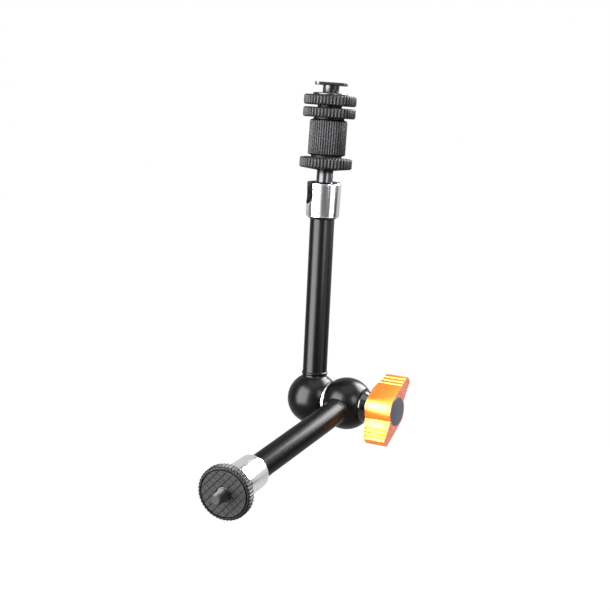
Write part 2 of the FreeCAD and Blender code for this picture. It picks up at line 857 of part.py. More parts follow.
os.makedirs("parts", exist_ok=True)
for part in parts:
    part.Shape.exportStep("parts/%s.step" % part.Label)
print(len(parts), "parts written; held point", [round(c, 4) for c in held_point])
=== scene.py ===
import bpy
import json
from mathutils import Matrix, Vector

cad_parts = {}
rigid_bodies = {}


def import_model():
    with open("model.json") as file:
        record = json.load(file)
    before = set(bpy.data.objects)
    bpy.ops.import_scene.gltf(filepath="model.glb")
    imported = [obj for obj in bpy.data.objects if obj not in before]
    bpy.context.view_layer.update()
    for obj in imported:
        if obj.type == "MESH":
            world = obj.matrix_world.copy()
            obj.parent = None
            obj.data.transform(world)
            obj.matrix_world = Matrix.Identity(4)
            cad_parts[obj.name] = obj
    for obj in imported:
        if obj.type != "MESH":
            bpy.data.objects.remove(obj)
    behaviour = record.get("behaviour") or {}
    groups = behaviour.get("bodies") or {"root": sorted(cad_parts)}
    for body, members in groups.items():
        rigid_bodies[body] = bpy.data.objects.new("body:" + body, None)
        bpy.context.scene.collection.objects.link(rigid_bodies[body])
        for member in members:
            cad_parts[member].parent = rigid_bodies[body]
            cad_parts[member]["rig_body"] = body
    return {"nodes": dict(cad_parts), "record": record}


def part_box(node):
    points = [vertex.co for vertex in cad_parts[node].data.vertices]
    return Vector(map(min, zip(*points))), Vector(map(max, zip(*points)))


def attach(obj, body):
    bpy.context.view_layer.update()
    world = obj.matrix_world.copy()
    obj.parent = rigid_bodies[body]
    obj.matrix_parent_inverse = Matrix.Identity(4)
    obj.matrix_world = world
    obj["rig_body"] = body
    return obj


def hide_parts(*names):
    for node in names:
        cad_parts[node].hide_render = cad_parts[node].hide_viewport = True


bl_info = {
    "name": "Friction arm dressing",
    "version": (1, 0, 0),
    "blender": (4, 5, 0),
    "location": "View3D > Sidebar > Friction arm",
    "description": "Threads, knurled rings, pads and finishes for an articulating friction arm, with its studio",
    "category": "Object",
}

import json
import math

import bpy
from mathutils import Matrix, Vector

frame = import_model()

MM = 0.001
MERGE = 1e-6  # points nearer than this are one point
ON_PLANE = 1e-7  # points nearer than this to a cutting plane lie on it
FULL_TURN = 2 * math.pi
RUNNING_GAP = 0.05 * MM  # between a shaft and the bore that turns on it
FLAT_ANGLE = 0.4  # degrees: faces of a copied solid that meet flatter than this become one
LOCK_RING_PHASE = 0.4  # share of a tooth by which the lock ring's teeth stand off the other ring's
STUD_STEPS = 96
BALL_ARC_STEPS = 22
PAD_STEPS = 144
NODES = frame["nodes"]
JOINTS = {joint["name"]: joint for joint in frame["record"]["behaviour"]["joints"]}


# ---------------------------------------------------------------- sizes and colours


def linear(code):
    """An sRGB hex colour as the linear numbers that a shader's socket takes."""
    shares = [int(code[place:place + 2], 16) / 255 for place in (1, 3, 5)]
    return [s / 12.92 if s <= 0.04045 else ((s + 0.055) / 1.055) ** 2.4 for s in shares] + [1.0]


def length(label, text, default):
    """A size that a user can change; the default is in millimetres."""
    return bpy.props.FloatProperty(name=label, description=text, default=default * MM, min=0.0, unit="LENGTH")


def count(label, text, default):
    return bpy.props.IntProperty(name=label, description=text, default=default, min=3)


def colour(label, text, code):
    return bpy.props.FloatVectorProperty(
        name=label, description=text, default=linear(code), size=4, min=0.0, max=1.0, subtype="COLOR"
    )


class ArmSizes(bpy.types.PropertyGroup):
    """The sizes that the dressed pieces share with the solids."""

    ball_r: length("Ball radius", "Radius of the ball at each end", 6.9)
    neck_r: length("Neck radius", "Radius of the neck between ball and thumb wheel", 4.7)
    neck_long: length("Neck height", "From the ball's centre to the neck's shoulder", 11.7)
    shank_r: length("Shank radius", "Radius of the plain shank inside the wheel", 3.9)
    stud_r: length("Stud radius", "Outside radius of the quarter-inch thread", 3.15)
    stud_root_r: length("Thread root radius", "Radius at the bottom of the thread's grooves", 2.55)
    stud_pitch: length("Thread pitch", "Twenty turns to the inch", 1.27)
    stud_reach: length("Stud reach", "How far the stud stands out of the pad", 9.3)
    stud_bevel: length("Stud bevel", "Chamfer at the stud's tip", 0.6)
    wheel_under: length("Wheel underside", "From the ball's centre to the wheel's underside", 13.0)
    wheel_thick: length("Wheel thickness", "Thickness of a thumb wheel", 6.0)
    wheel_r: length("Wheel radius", "Outside radius of the wheels and rings", 15.0)
    wheel_bevel: length("Wheel chamfer", "Chamfer at the rim of a wheel", 0.8)
    boss_r: length("Boss radius", "Radius at which the wheel's coned underside meets the neck", 4.5)
    knurl_count: count("Wheel teeth", "Number of teeth round a wheel", 46)
    knurl_depth: length("Tooth depth", "Depth of the grooves between a wheel's teeth", 0.75)
    pad_r: length("Pad radius", "Radius of the rubber pad", 12.7)
    pad_gap: length("Pad gap", "Gap between the pad and the wheel's lip", 0.6)
    pad_thick: length("Pad thickness", "Thickness of the rubber pad", 1.7)
    pad_proud: length("Pad stand", "How far the pad stands out of the wheel", 0.2)
    pad_ease: length("Pad edge", "Chamfer at the pad's edges", 0.15)
    pad_hole_r: length("Pad hole", "Radius of the pad's hole round the stud", 4.2)
    groove_deep: length("Groove depth", "Depth of the pad's main grooves", 0.6)
    groove_wide: length("Groove width", "Width of the pad's main grooves", 0.65)
    cross_deep: length("Cross groove depth", "Depth of the finer grooves across the main ones", 0.2)
    cross_wide: length("Cross groove width", "Width of the finer grooves across the main ones", 0.3)
    groove_pitch: length("Groove spacing", "From one groove to the next", 3.2)
    groove_shift: length("Groove shift", "How far the groove nearest the middle lies from it", 0.6)
    barrel_r: length("Barrel radius", "Outside radius of the knurled barrel", 10.75)
    barrel_long: length("Barrel length", "Length of the knurled barrel", 19.7)
    barrel_neck_r: length("Barrel neck radius", "Radius of the turned necks at the barrel's ends", 8.8)
    barrel_neck_long: length("Barrel neck length", "Length of each turned neck", 1.4)
    barrel_teeth: count("Barrel teeth", "Number of teeth round the barrel", 46)
    barrel_depth: length("Barrel tooth depth", "Depth of the grooves between the barrel's teeth", 0.5)
    ring_thick: length("Ring thickness", "Thickness of the ring above the barrel", 5.7)
    boss_above_r: length("Upper boss radius", "Radius of the boss between the two upper rings", 7.0)
    boss_above_long: length("Upper boss length", "Gap between the two upper rings", 1.3)
    lock_ring_thick: length("Lock ring thickness", "Thickness of the ring under the shoe", 5.8)
    post_r: length("Post radius", "Radius of the shoe foot's post", 4.7)
    housing_r: length("Housing radius", "Radius of the ball housings at the elbow", 15.0)
    tube_r: length("Tube radius", "Outside radius of the two tubes", 7.0)
    socket_inside: length("Socket inside", "Within this radius a socket's faces belong to its bore or slot", 9.2)


class ArmColours(bpy.types.PropertyGroup):
    """The colours of the finishes."""

    tube: colour("Tube black", "Black anodising of the tubes and housings", "#0b0b0c")
    wheel: colour("Wheel black", "Black anodising of the knurled pieces", "#070708")
    # Tooth crest colour: the crests are painted lighter, partly as rubbed wear and partly as a painted highlight on
    # the teeth.
    crest_wear_and_highlight: colour("Tooth crest", "Crests of the teeth, rubbed and painted with a highlight", "#3e3f42")
    chrome: colour("Chrome", "Chrome plate of the sockets and necks", "#ececed")
    neck: colour("Neck steel", "Polished steel of the balls and necks", "#303032")
    steel: colour("Steel", "Turned steel of the washer and inner pieces", "#c9c8c5")
    stud: colour("Stud steel", "Blackened steel of the threaded studs", "#303032")
    orange: colour("Knob orange", "Orange anodising on the knob's turned and milled sides", "#ff9420")
    # Knob face colour: the same orange anodising as the sides, painted pinker as painted light for how the flat face
    # is lit.
    face_painted_light: colour("Knob face", "The knob's faced end, which reads pinker than its sides", "#ff8468")
    cap: colour("Cap grey", "The plain disc in the knob's face", "#4d5063")
    rubber: colour("Pad rubber", "The pads' rubber", "#1c1c1d")
    # Bore grey: painted shade, a dark grey on the inner faces of the sockets' bores and slots where shade falls.
    bore: colour("Bore grey", "Painted shade on the inner faces of the sockets' bores and slots", "#303032")
    collar: colour("Collar black", "Moulded black of the thrust collar", "#0c0c0d")
    acetal: colour("Seat white", "Moulded acetal of the ball seats", "#e4e2da")
    floor: colour("Floor", "The studio's floor and backdrop", "#ffffff")


# ---------------------------------------------------------------- modelling helpers


def sizes():
    return bpy.context.scene.arm_sizes


def colours():
    return bpy.context.scene.arm_colours


def active(piece):
    """Makes a piece the only selected one, in object mode."""
    if bpy.context.object and bpy.context.object.mode != "OBJECT":
        bpy.ops.object.mode_set(mode="OBJECT")
    bpy.ops.object.select_all(action="DESELECT")
    piece.select_set(True)
    bpy.context.view_layer.objects.active = piece


def pick(piece, test, kind="VERT"):
    """Selects in edit mode the vertices, edges or faces that pass the test."""
    active(piece)
    bpy.ops.object.mode_set(mode="EDIT")
    bpy.ops.mesh.select_mode(type=kind)
    bpy.ops.mesh.select_all(action="DESELECT")
    bpy.ops.object.mode_set(mode="OBJECT")
    items = {"VERT": piece.data.vertices, "EDGE": piece.data.edges, "FACE": piece.data.polygons}[kind]
    for item in items:
        item.select = bool(test(item))
    bpy.ops.object.mode_set(mode="EDIT")


def start_point(name, spot):
    """A new piece of one vertex, from a small plane merged to its middle."""
    if bpy.context.object and bpy.context.object.mode != "OBJECT":
        bpy.ops.object.mode_set(mode="OBJECT")
    bpy.ops.object.select_all(action="DESELECT")
    bpy.ops.mesh.primitive_plane_add(size=MM, location=(0, 0, 0))
    piece = bpy.context.object
    piece.name = name
    piece.data.name = name
    bpy.ops.object.mode_set(mode="EDIT")
    bpy.ops.mesh.select_mode(type="VERT")
    bpy.ops.mesh.merge(type="CENTER")
    bpy.ops.transform.translate(value=spot)
    return piece


def draw_profile(name, points, closed=True):
    """A piece that is one outline of radius and height, drawn in the XZ plane point by point."""
    spots = [Vector((radius, 0, height)) for radius, height in points]
    piece = start_point(name, spots[0])
    for before, after in zip(spots, spots[1:]):
        bpy.ops.mesh.extrude_region_move(TRANSFORM_OT_translate={"value": after - before})
    if closed and spots[0].x > MERGE:
        bpy.ops.mesh.select_all(action="SELECT")
        bpy.ops.object.mode_set(mode="OBJECT")
        ends = {0, len(spots) - 1}
        for vertex in piece.data.vertices:
            vertex.select = vertex.index in ends
        for edge in piece.data.edges:
            edge.select = False
        bpy.ops.object.mode_set(mode="EDIT")
        bpy.ops.mesh.select_mode(type="VERT")
        bpy.ops.mesh.edge_face_add()
    return piece


def turned(name, points, steps=128):
    """A turned piece: the outline spun round Z, merged, and its faces pointing outwards."""
    piece = draw_profile(name, points)
    bpy.ops.mesh.select_all(action="SELECT")
    bpy.ops.mesh.spin(steps=steps, angle=FULL_TURN, center=(0, 0, 0), axis=(0, 0, 1), use_auto_merge=True)
    bpy.ops.mesh.select_all(action="SELECT")
    bpy.ops.mesh.remove_doubles(threshold=MERGE)
    bpy.ops.mesh.normals_make_consistent(inside=False)
    bpy.ops.object.mode_set(mode="OBJECT")
    return piece


def radius_of(vertex):
    return math.hypot(vertex.co.x, vertex.co.y)


# A tooth's outline, from the crest round the groove: share of the turn from tooth to tooth, share of the depth
TOOTH = ((2, 0.45), (3, 1.0), (4, 1.0), (5, 0.45))
TOOTH_STEPS = 7


def toothed(piece, teeth, rim, depth, low, high):
    """Draws the rim's vertices in towards the axis between the teeth."""
    bevel_reach = sizes().wheel_bevel / 2
    for place, share in TOOTH:
        def in_groove(vertex, place=place):
            turn = math.atan2(vertex.co.y, vertex.co.x) / FULL_TURN * teeth
            step = round((turn - math.floor(turn)) * TOOTH_STEPS) % TOOTH_STEPS
            at_rim = radius_of(vertex) > rim - bevel_reach
            return step == place and at_rim and low - MERGE < vertex.co.z < high + MERGE

        pick(piece, in_groove)
        factor = (rim - depth * share) / rim
        bpy.ops.transform.resize(value=(factor, factor, 1), center_override=(0, 0, 0))
    bpy.ops.object.mode_set(mode="OBJECT")


def knurled(name, points, teeth, rim, depth, low, high, ease=0.1):
    """A turned piece whose rim is cut into teeth between two heights."""
    piece = turned(name, points, teeth * TOOTH_STEPS)
    toothed(piece, teeth, rim, depth, low, high)
    soften(piece, ease, 1, angle=40, smooth=35)
    return piece


def apply_modifier(piece, kind, **settings):
    active(piece)
    modifier = piece.modifiers.new(kind.title(), kind)
    for key, setting in settings.items():
        setattr(modifier, key, setting)
    bpy.ops.object.modifier_apply(modifier=modifier.name)


def soften(piece, width, segments=2, angle=32, smooth=30):
    """Rounds the sharp edges by a small bevel, and shades by angle."""
    if width:
        apply_modifier(
            piece, "BEVEL", width=width * MM, segments=segments, limit_method="ANGLE",
            angle_limit=math.radians(angle), use_clamp_overlap=True,
        )
    active(piece)
    bpy.ops.object.shade_smooth_by_angle(angle=math.radians(smooth))


def join(pieces):
    active(pieces[0])
    for piece in pieces:
        piece.select_set(True)
    bpy.ops.object.join()
    return pieces[0]


def settle(piece, matrix=None):
    """Puts a piece in its place and leaves its object at the origin."""
    active(piece)
    if matrix is not None:
        piece.matrix_world = matrix @ piece.matrix_world
    bpy.ops.object.transform_apply(location=True, rotation=True, scale=True)


def stud_frame(side):
    """The ball stud's own frame: origin at the ball's centre, Z along the stud."""
    joint = JOINTS[side + "_wheel_turn"]
    axis = Vector(joint["axis"])
    centre = Vector(joint["pos_m"]) - axis * sizes().wheel_under
    turn = Vector((0, 0, 1)).rotation_difference(axis)
    return Matrix.Translation(centre) @ turn.to_matrix().to_4x4()


def dress(piece, node, finish, *more):
    """The piece stands for a CAD node, rides on its body and takes its finish."""
    source = NODES[node]
    piece.data.materials.clear()
    for material in (finish, *more):
        piece.data.materials.append(material)
    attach(piece, source["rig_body"])
    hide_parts(node)
    return piece


def copy_of(node, name):
    """A merged copy of a CAD node's mesh, with its flat faces whole again."""
    piece = bpy.data.objects.new(name, NODES[node].data.copy())
    piece.data.name = name
    bpy.context.scene.collection.objects.link(piece)
    active(piece)
    bpy.ops.mesh.customdata_custom_splitnormals_clear()
    bpy.ops.object.mode_set(mode="EDIT")
    bpy.ops.mesh.select_all(action="SELECT")
    bpy.ops.mesh.remove_doubles(threshold=MERGE)
    bpy.ops.mesh.dissolve_limited(angle_limit=math.radians(FLAT_ANGLE))
    bpy.ops.object.mode_set(mode="OBJECT")
    return piece


# ---------------------------------------------------------------- materials


def add(tree, kind, values=None, links=None, **settings):
    """Adds a node: settings are its choices, values its sockets' numbers, links what feeds its sockets."""
    made = tree.nodes.new(kind)
    for key, setting in settings.items():
        setattr(made, key, setting)
    for key, number in (values or {}).items():
        made.inputs[key].default_value = number
    for key, source in (links or {}).items():
        tree.links.new(source, made.inputs[key])
    return made


def new_finish(name):
    """An empty material with its tree, and the object's own coordinates."""
    finish = bpy.data.materials.get(name) or bpy.data.materials.new(name)
    finish.use_nodes = True
    tree = finish.node_tree
    tree.nodes.clear()
    place = add(tree, "ShaderNodeTexCoord").outputs["Object"]
    return finish, tree, place


def close_finish(tree, shader):
    add(tree, "ShaderNodeOutputMaterial", links={"Surface": shader.outputs[0]})


def grain(tree, place, size, detail=2.0):
    """Noise whose grains are about the given size in millimetres."""
    return add(
        tree, "ShaderNodeTexNoise", {"Scale": 1 / (size * MM), "Detail": detail, "Roughness": 0.55},
        {"Vector": place},
    ).outputs["Fac"]


def spread(tree, source, low, high, start=0.3, end=0.7):
    """Spreads a pattern's middle values between two numbers."""
    return add(
        tree, "ShaderNodeMapRange",
        {"From Min": start, "From Max": end, "To Min": low, "To Max": high}, {"Value": source},
    ).outputs["Result"]


def tint(tree, factor, first, second):
    return add(
        tree, "ShaderNodeMix", {"A": first, "B": second}, {"Factor": factor}, data_type="RGBA"
    ).outputs["Result"]


def bump(tree, height, strength, depth):
    """Bump of the given depth in millimetres."""
    return add(
        tree, "ShaderNodeBump", {"Strength": strength, "Distance": depth * MM}, {"Height": height}
    ).outputs["Normal"]


def shade(code, factor):
    """A colour made lighter or darker."""
    return [min(1.0, share * factor) for share in code[:3]] + [1.0]


def tube_finish():
    """Black anodised aluminium, drawn and bead-blasted: satin, with a soft light band along each tube."""
    finish, tree, place = new_finish("black_anodised_satin")
    blast = grain(tree, place, 0.35)
    cloud = grain(tree, place, 14.0)
    base = tint(tree, spread(tree, cloud, 0.0, 1.0), shade(colours().tube, 0.9), shade(colours().tube, 1.15))
    shader = add(
        tree, "ShaderNodeBsdfPrincipled", {"Specular IOR Level": 0.12},
        {
            "Base Color": base,
            "Roughness": spread(tree, blast, 0.24, 0.32),
            "Normal": bump(tree, blast, 0.12, 0.02),
        },
    )
    close_finish(tree, shader)
    return finish


def knurl_finish(name, matrix, rim, depth):
    """Black anodised aluminium, straight knurled: the crests are painted lighter, partly as rubbed wear and partly as
    a painted highlight; the grooves keep the plain black.
    """
    finish, tree, place = new_finish(name)
    inverse = matrix.inverted()
    local = add(
        tree, "ShaderNodeMapping",
        {"Location": inverse.to_translation(), "Rotation": inverse.to_euler()}, {"Vector": place},
    ).outputs["Vector"]
    flat = add(tree, "ShaderNodeVectorMath", {1: (1, 1, 0)}, {0: local}, operation="MULTIPLY").outputs["Vector"]
    radius = add(tree, "ShaderNodeVectorMath", links={0: flat}, operation="LENGTH").outputs["Value"]
    crest = add(
        tree, "ShaderNodeMapRange",
        {"From Min": rim - depth * 0.4, "From Max": rim - depth * 0.02, "To Min": 0.0, "To Max": 1.0},
        {"Value": radius},
    ).outputs["Result"]
    # The lighter, more metallic crests are partly wear and partly a painted highlight where the teeth's edges catch
    # the light.
    speck = grain(tree, place, 0.9, 4.0)
    crest_wear_and_highlight_share = add(
        tree, "ShaderNodeMath", links={0: crest, 1: spread(tree, speck, 0.9, 1.0)}, operation="MULTIPLY"
    ).outputs["Value"]
    shader = add(
        tree, "ShaderNodeBsdfPrincipled", {"Specular IOR Level": 0.13},
        {
            "Base Color": tint(tree, crest_wear_and_highlight_share, colours().wheel, colours().crest_wear_and_highlight),
            "Roughness": spread(tree, speck, 0.42, 0.46),
            "Metallic": spread(tree, crest_wear_and_highlight_share, 0.0, 0.15, 0.0, 1.0),
        },
    )
    close_finish(tree, shader)
    return finish


def metal_finish(name, plate, low, high, size=0.6, depth=0.004, stretch=(1, 1, 1)):
    """A bare or plated metal: its grain moves the roughness a little and gives a faint bump."""
    finish, tree, place = new_finish(name)
    drawn = add(tree, "ShaderNodeMapping", {"Scale": stretch}, {"Vector": place}).outputs["Vector"]
    fine = grain(tree, drawn, size, 3.0)
    cloud = grain(tree, place, 6.0)
    shader = add(
        tree, "ShaderNodeBsdfPrincipled", {"Metallic": 1.0},
        {
            "Base Color": tint(tree, spread(tree, cloud, 0.0, 1.0), shade(plate, 0.94), plate),
            "Roughness": spread(tree, fine, low, high),
            "Normal": bump(tree, fine, 0.2, depth),
        },
    )
    close_finish(tree, shader)
    return finish


def anodised_finish(name, dye):
    """Dyed anodising on milled aluminium: the metal gives the colour its depth, the sealed skin pale highlights."""
    finish, tree, place = new_finish(name)
    fine = grain(tree, place, 0.5, 3.0)
    cloud = grain(tree, place, 9.0)
    shader = add(
        tree, "ShaderNodeBsdfPrincipled", {"Metallic": 0.55, "Coat Weight": 0.25, "Coat Roughness": 0.2},
        {
            "Base Color": tint(tree, spread(tree, cloud, 0.0, 1.0), shade(dye, 0.93), dye),
            "Roughness": spread(tree, fine, 0.34, 0.38),
        },
    )
    close_finish(tree, shader)
    return finish


def plain_finish(name, base_colour, low, high, size=0.4, depth=0.03, level=0.5, strength=0.25):
    """Moulded plastic or rubber: even colour with a fine skin."""
    finish, tree, place = new_finish(name)
    skin = grain(tree, place, size, 3.0)
    cloud = grain(tree, place, 5.0)
    base = tint(tree, spread(tree, cloud, 0.0, 1.0), shade(base_colour, 0.86), shade(base_colour, 1.12))
    shader = add(
        tree, "ShaderNodeBsdfPrincipled", {"Specular IOR Level": level},
        {
            "Base Color": base,
            "Roughness": spread(tree, skin, low, high),
            "Normal": bump(tree, skin, strength, depth),
        },
    )
    close_finish(tree, shader)
    return finish


# ---------------------------------------------------------------- the arm's pieces


def thread(name, crest, root, pitch, low, high, bevel, steps=40):
    """A threaded rod: a ridge wound by the screw modifier, cut square at its ends, with a turned tip."""
    land = pitch / 8
    outline = [
        (root, low - pitch), (root, low - pitch + land), (crest, low - pitch / 2 - land / 2),
        (crest, low - pitch / 2 + land / 2), (root, low - land), (root, low),
    ]
    piece = draw_profile(name, outline, closed=False)
    bpy.ops.object.mode_set(mode="OBJECT")
    turns = math.ceil((high - low) / pitch) + 2
    apply_modifier(
        piece, "SCREW", axis="Z", angle=FULL_TURN, screw_offset=pitch, iterations=turns, steps=steps,
        render_steps=steps, use_merge_vertices=True, merge_threshold=MERGE, use_smooth_shade=False,
    )
    active(piece)
    bpy.ops.object.mode_set(mode="EDIT")
    for height, outward, rise, narrow in ((low, -1, 0, 1), (high - bevel, 1, bevel, 1 - bevel / crest)):
        bpy.ops.mesh.select_all(action="SELECT")
        bpy.ops.mesh.bisect(
            plane_co=(0, 0, height), plane_no=(0, 0, outward), clear_outer=True, threshold=ON_PLANE
        )
        if rise:
            bpy.ops.mesh.extrude_region_move(TRANSFORM_OT_translate={"value": (0, 0, rise)})
            bpy.ops.transform.resize(value=(narrow, narrow, 1), center_override=(0, 0, 0))
        bpy.ops.mesh.edge_face_add()
    bpy.ops.mesh.select_all(action="SELECT")
    bpy.ops.mesh.remove_doubles(threshold=MERGE)
    bpy.ops.mesh.normals_make_consistent(inside=False)
    bpy.ops.object.mode_set(mode="OBJECT")
    return piece


class ARM_OT_ball_studs(bpy.types.Operator):
    """Turns both ball studs: polished ball and neck, and a blackened thread cut to the tip"""

    bl_idname = "arm.ball_studs"
    bl_label = "Ball studs"

    def execute(self, context):
        s = sizes()
        chrome = metal_finish("polished_steel_neck", colours().neck, 0.24, 0.28, 0.8, 0.0005)
        black = metal_finish("blackened_steel_thread", colours().stud, 0.4, 0.5, 0.4, 0.01)
        top = s.wheel_under + s.wheel_thick + s.pad_proud
        meet = math.sqrt(s.ball_r ** 2 - s.neck_r ** 2)
        swing = math.pi / 2 + math.atan2(meet, s.neck_r)
        arc = []
        for step in range(BALL_ARC_STEPS + 1):
            angle = -math.pi / 2 + swing * step / BALL_ARC_STEPS
            arc.append((s.ball_r * math.cos(angle), s.ball_r * math.sin(angle)))
        arc[0] = (0, -s.ball_r)
        body_points = arc + [
            (s.neck_r, s.neck_long), (s.shank_r, s.neck_long), (s.shank_r, top), (s.stud_root_r, top), (0, top),
        ]
        for side in ("lower", "upper"):
            body = turned(side + "_stud", body_points, STUD_STEPS)
            soften(body, 0.12)
            screw = thread(
                side + "_thread", s.stud_r, s.stud_root_r, s.stud_pitch, top, top + s.stud_reach, s.stud_bevel
            )
            soften(screw, 0, smooth=25)
            for piece in (body, screw):
                for material in (chrome, black):
                    piece.data.materials.append(material)
            for polygon in screw.data.polygons:
                polygon.material_index = 1
            for polygon in body.data.polygons:
                polygon.material_index = int(polygon.center.z > s.wheel_under + s.wheel_thick / 2)
            joined = join([body, screw])
            settle(joined, stud_frame(side))
            indices = [polygon.material_index for polygon in joined.data.polygons]
            dress(joined, side + "_ball_stud", chrome, black)
            joined.data.polygons.foreach_set("material_index", indices)
        return {"FINISHED"}


def rim_points(low, high):
    """The chamfered rim of a ring between two heights."""
    s = sizes()
    return [
        (s.wheel_r - s.wheel_bevel, low), (s.wheel_r, low + s.wheel_bevel),
        (s.wheel_r, high - s.wheel_bevel), (s.wheel_r - s.wheel_bevel, high),
    ]


class ARM_OT_knurled_rings(bpy.types.Operator):
    """Turns and knurls the two thumb wheels, the adapter's barrel with its ring, and the lock ring"""

    bl_idname = "arm.knurled_rings"
    bl_label = "Knurled rings"

    def execute(self, context):
        s = sizes()
        for side in ("lower", "upper"):
            matrix = stud_frame(side)
            finish = knurl_finish(side + "_wheel_black_knurled", matrix, s.wheel_r, s.knurl_depth)
            top = s.wheel_under + s.wheel_thick
            floor = top + s.pad_proud - s.pad_thick
            bore = s.shank_r + RUNNING_GAP
            points = [
                (bore, s.neck_long), (s.boss_r, s.neck_long),
                *rim_points(s.wheel_under, top),
                (s.pad_r + s.pad_gap, top), (s.pad_r + s.pad_gap, floor), (bore, floor),
            ]
            wheel = knurled(
                side + "_thumb_wheel", points, s.knurl_count, s.wheel_r, s.knurl_depth, s.wheel_under, top
            )
            settle(wheel, matrix)
            dress(wheel, side + "_wheel", finish)

        matrix = stud_frame("upper")
        top = s.wheel_under + s.wheel_thick + s.pad_proud
        grip_low = top + s.barrel_neck_long
        grip_high = grip_low + s.barrel_long
        ring_low = grip_high + s.barrel_neck_long
        ring_high = ring_low + s.ring_thick
        boss_high = ring_high + s.boss_above_long
        lock_high = boss_high + s.lock_ring_thick
        bore = s.stud_r + RUNNING_GAP
        bevel = s.barrel_depth
        neck_points = [
            (bore, top), (s.barrel_neck_r, top), (s.barrel_neck_r, grip_low - bevel),
            (s.barrel_r - bevel, grip_low), (s.barrel_r, grip_low + bevel),
            (s.barrel_r, grip_high - bevel), (s.barrel_r - bevel, grip_high),
            (s.barrel_neck_r, grip_high + bevel), (s.barrel_neck_r, ring_low), (bore, ring_low),
        ]
        grip_finish = knurl_finish("barrel_black_knurled", matrix, s.barrel_r, s.barrel_depth)
        grip = knurled(
            "adapter_grip", neck_points, s.barrel_teeth, s.barrel_r, s.barrel_depth, grip_low, grip_high, 0.06
        )
        settle(grip, matrix)
        grip.data.materials.append(grip_finish)
        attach(grip, NODES["adapter_barrel"]["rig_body"])

        ring_finish = knurl_finish("ring_black_knurled", matrix, s.wheel_r, s.knurl_depth)
        ring_points = [
            (bore, ring_low), *rim_points(ring_low, ring_high),
            (s.boss_above_r, ring_high), (s.boss_above_r, boss_high), (bore, boss_high),
        ]
        ring = knurled("adapter_ring", ring_points, s.knurl_count, s.wheel_r, s.knurl_depth, ring_low, ring_high)
        settle(ring, matrix)
        dress(ring, "adapter_barrel", ring_finish)

        bore = s.post_r + RUNNING_GAP
        lock_points = [(bore, boss_high), *rim_points(boss_high, lock_high), (bore, lock_high)]
        lock = knurled("shoe_lock_ring", lock_points, s.knurl_count, s.wheel_r, s.knurl_depth, boss_high, lock_high)
        phase = Matrix.Rotation(LOCK_RING_PHASE * FULL_TURN / s.knurl_count, 4, "Z")
        settle(lock, matrix @ phase)
        dress(lock, "lock_ring", ring_finish)
        return {"FINISHED"}


def cut_grooves(pad, heading, middles, wide, deep, top):
    """Cuts straight grooves into a pad's face by a row of bars."""
    bars = []
    for middle in middles:
        bpy.ops.object.select_all(action="DESELECT")
        bpy.ops.mesh.primitive_cube_add(
            size=1, location=(-middle * math.sin(heading), middle * math.cos(heading), top),
            rotation=(0, 0, heading), scale=(4 * sizes().pad_r, wide, 2 * deep),
        )
        bars.append(bpy.context.object)
    cutter = join(bars)
    settle(cutter)
    apply_modifier(pad, "BOOLEAN", operation="DIFFERENCE", solver="EXACT", object=cutter)
    bpy.data.objects.remove(cutter, do_unlink=True)


class ARM_OT_pads(bpy.types.Operator):
    """Moulds both rubber pads with their chamfered edges and straight grooves"""

    bl_idname = "arm.pads"
    bl_label = "Rubber pads"

    lower_along: bpy.props.FloatVectorProperty(
        name="Lower grooves", description="Direction of the lower pad's grooves", default=(0.6963, -0.0278, 0.7173)
    )
    upper_along: bpy.props.FloatVectorProperty(
        name="Upper grooves", description="Direction of the upper pad's grooves", default=(0.70, 0.71, 0.0)
    )

    def execute(self, context):
        s = sizes()
        rubber = plain_finish("moulded_rubber_pad", colours().rubber, 0.55, 0.8, 0.5, 0.05, 0.22, 0.5)
        top = s.wheel_under + s.wheel_thick + s.pad_proud
        for side in ("lower", "upper"):
            matrix = stud_frame(side)
            along = matrix.inverted().to_3x3() @ Vector(getattr(self, side + "_along"))
            heading = math.atan2(along.y, along.x)
            low = top - s.pad_thick
            points = [
                (s.pad_hole_r, low), (s.pad_r, low), (s.pad_r, top - s.pad_ease), (s.pad_r - s.pad_ease, top),
                (s.pad_hole_r + s.pad_ease, top), (s.pad_hole_r, top - s.pad_ease),
            ]
            pad = turned(side + "_rubber_pad", points, PAD_STEPS)
            most = int(s.pad_r / s.groove_pitch)
            middles = [k * s.groove_pitch + s.groove_shift for k in range(-most, most + 1)]
            for turn, wide, deep in ((0, s.groove_wide, s.groove_deep), (math.pi / 2, s.cross_wide, s.cross_deep)):
                cut_grooves(pad, heading + turn, middles, wide, deep, top)
            soften(pad, 0, smooth=20)
            settle(pad, matrix)
            dress(pad, side + "_pad", rubber)
        return {"FINISHED"}


class ARM_OT_wing_knob(bpy.types.Operator):
    """Eases the wing knob's edges, gives its milled sides their finish, and paints its faced end a pinker, matter
    copy of the orange as painted light for how the flat face is lit
    """

    bl_idname = "arm.wing_knob"
    bl_label = "Wing knob"

    def execute(self, context):
        sides = anodised_finish("orange_anodised_milled", colours().orange)
        face = plain_finish("orange_anodised_face_painted_light", colours().face_painted_light, 0.42, 0.55, 0.3, 0.01, 0.5, 0.2)
        knob = copy_of("wing_knob", "wing_knob_eased")
        soften(knob, 0.25, 2, angle=35)
        settle(knob)
        dress(knob, "wing_knob", sides, face)
        # The flat front faces take the pinker, matter face colour: painted light for how the flat face is lit.
        front = max(vertex.co.x for vertex in knob.data.vertices) - 0.05 * MM
        for polygon in knob.data.polygons:
            polygon.material_index = int(polygon.normal.x > 0.9 and polygon.center.x > front)
        cap = copy_of("knob_cap", "knob_cap_disc")
        soften(cap, 0.15, 2, angle=35)
        settle(cap)
        dress(cap, "knob_cap", plain_finish("slate_printed_disc", colours().cap, 0.3, 0.45, 0.3, 0.01))
        return {"FINISHED"}


